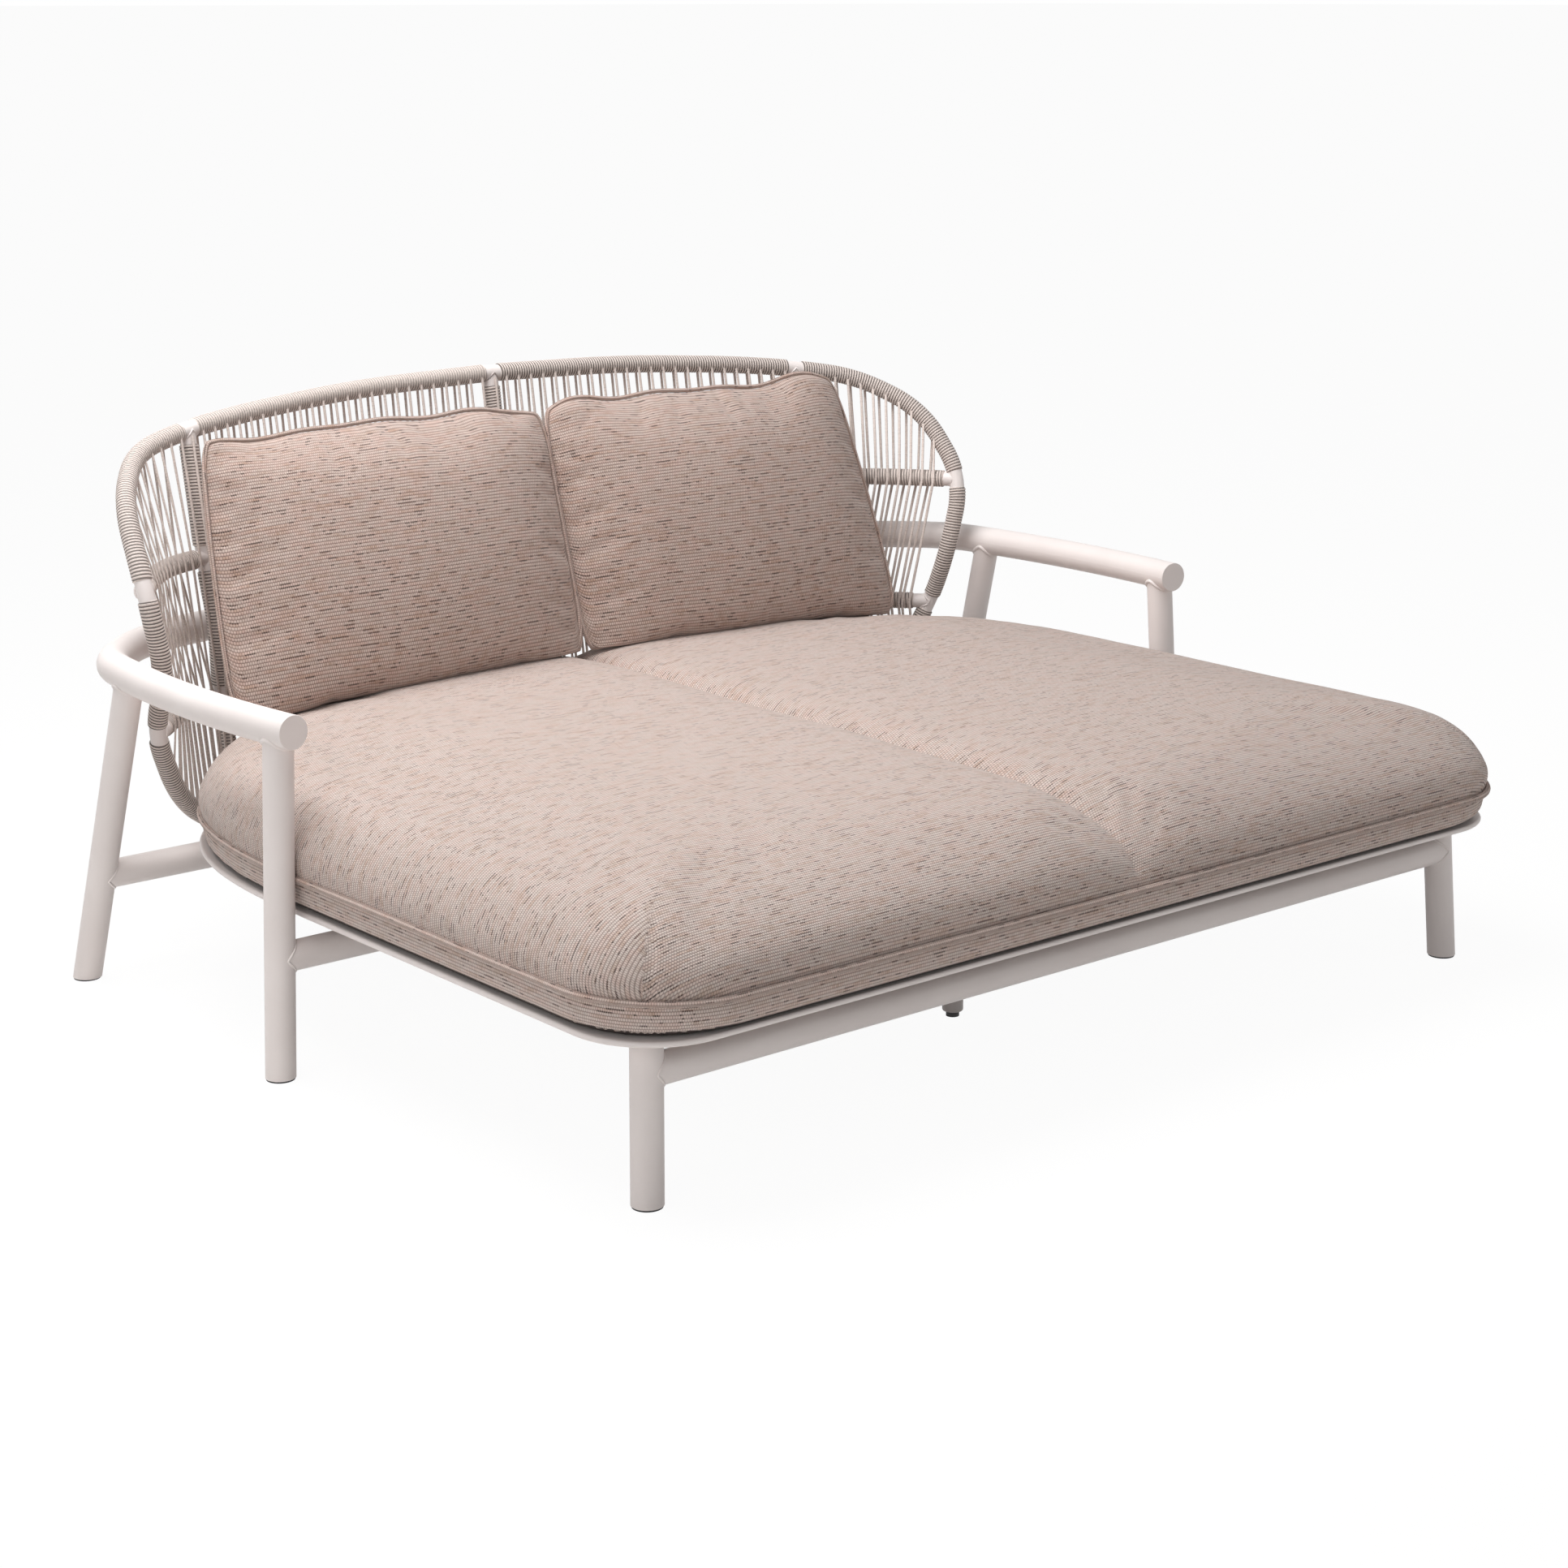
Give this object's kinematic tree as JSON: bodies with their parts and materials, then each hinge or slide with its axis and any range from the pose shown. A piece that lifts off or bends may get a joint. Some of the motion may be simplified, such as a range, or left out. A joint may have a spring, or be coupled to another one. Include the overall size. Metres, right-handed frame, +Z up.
{
  "type": "outdoor daybed",
  "caption": "Outdoor daybed: splayed tube legs, wrap-round arm rail, cord-wound curved back, wide piped mattress and loose back cushions",
  "frame": {"origin": "middle of the footprint, on the ground", "axes": "+X across the daybed to the viewer's right, +Y to its back, +Z up"},
  "size_m": [2.0484, 1.7373, 0.9498],
  "materials": {
    "frame": "matt powder coat, fine texture, warm white",
    "glide": "black nylon",
    "cord": "round woven outdoor cord, warm grey beige",
    "mattress_cloth": "basket-weave melange cloth, rose beige with dark dashes",
    "cushion_cloth": "basket-weave melange cloth, rose beige with dark dashes"
  },
  "bodies": {
    "root": {"arm_cap_left": "frame", "arm_cap_right": "frame", "arm_leg_left": "frame", "arm_leg_right": "frame", "arm_rail": "frame", "arm_rail_side_left": "frame", "arm_rail_side_right": "frame", "back_cushion_left": "cushion_cloth", "back_cushion_right": "cushion_cloth", "bearer_centre": "frame", "bearer_left": "frame", "bearer_right": "frame", "centre_glide": "glide", "centre_leg": "frame", "deck_rim": "frame", "deck_slats": "frame", "foot_glides": "glide", "front_beam": "frame", "front_leg_left": "frame", "front_leg_right": "frame", "loop_bottom": "frame", "loop_side_left": "frame", "loop_side_right": "frame", "loop_top": "frame", "low_rail": "frame", "mattress": "mattress_cloth", "mid_rail": "frame", "middle_beam": "frame", "rear_beam": "frame", "rear_leg_left": "frame", "rear_leg_right": "frame", "rib_centre": "frame", "rib_left": "frame", "rib_right": "frame", "rib_stays": "frame", "strands_front_left": "cord", "strands_front_right": "cord", "strands_front_side_left": "cord", "strands_front_side_right": "cord", "strands_rear_left": "cord", "strands_rear_right": "cord", "strands_rear_side_left": "cord", "strands_rear_side_right": "cord", "wrap_loop_bottom": "cord", "wrap_loop_side_left": "cord", "wrap_loop_side_right": "cord", "wrap_loop_top": "cord", "wrap_low_rail": "cord", "wrap_mid_rail": "cord", "wrap_rib_centre": "cord", "wrap_rib_left": "cord", "wrap_rib_right": "cord"}
  },
  "joints": []
}
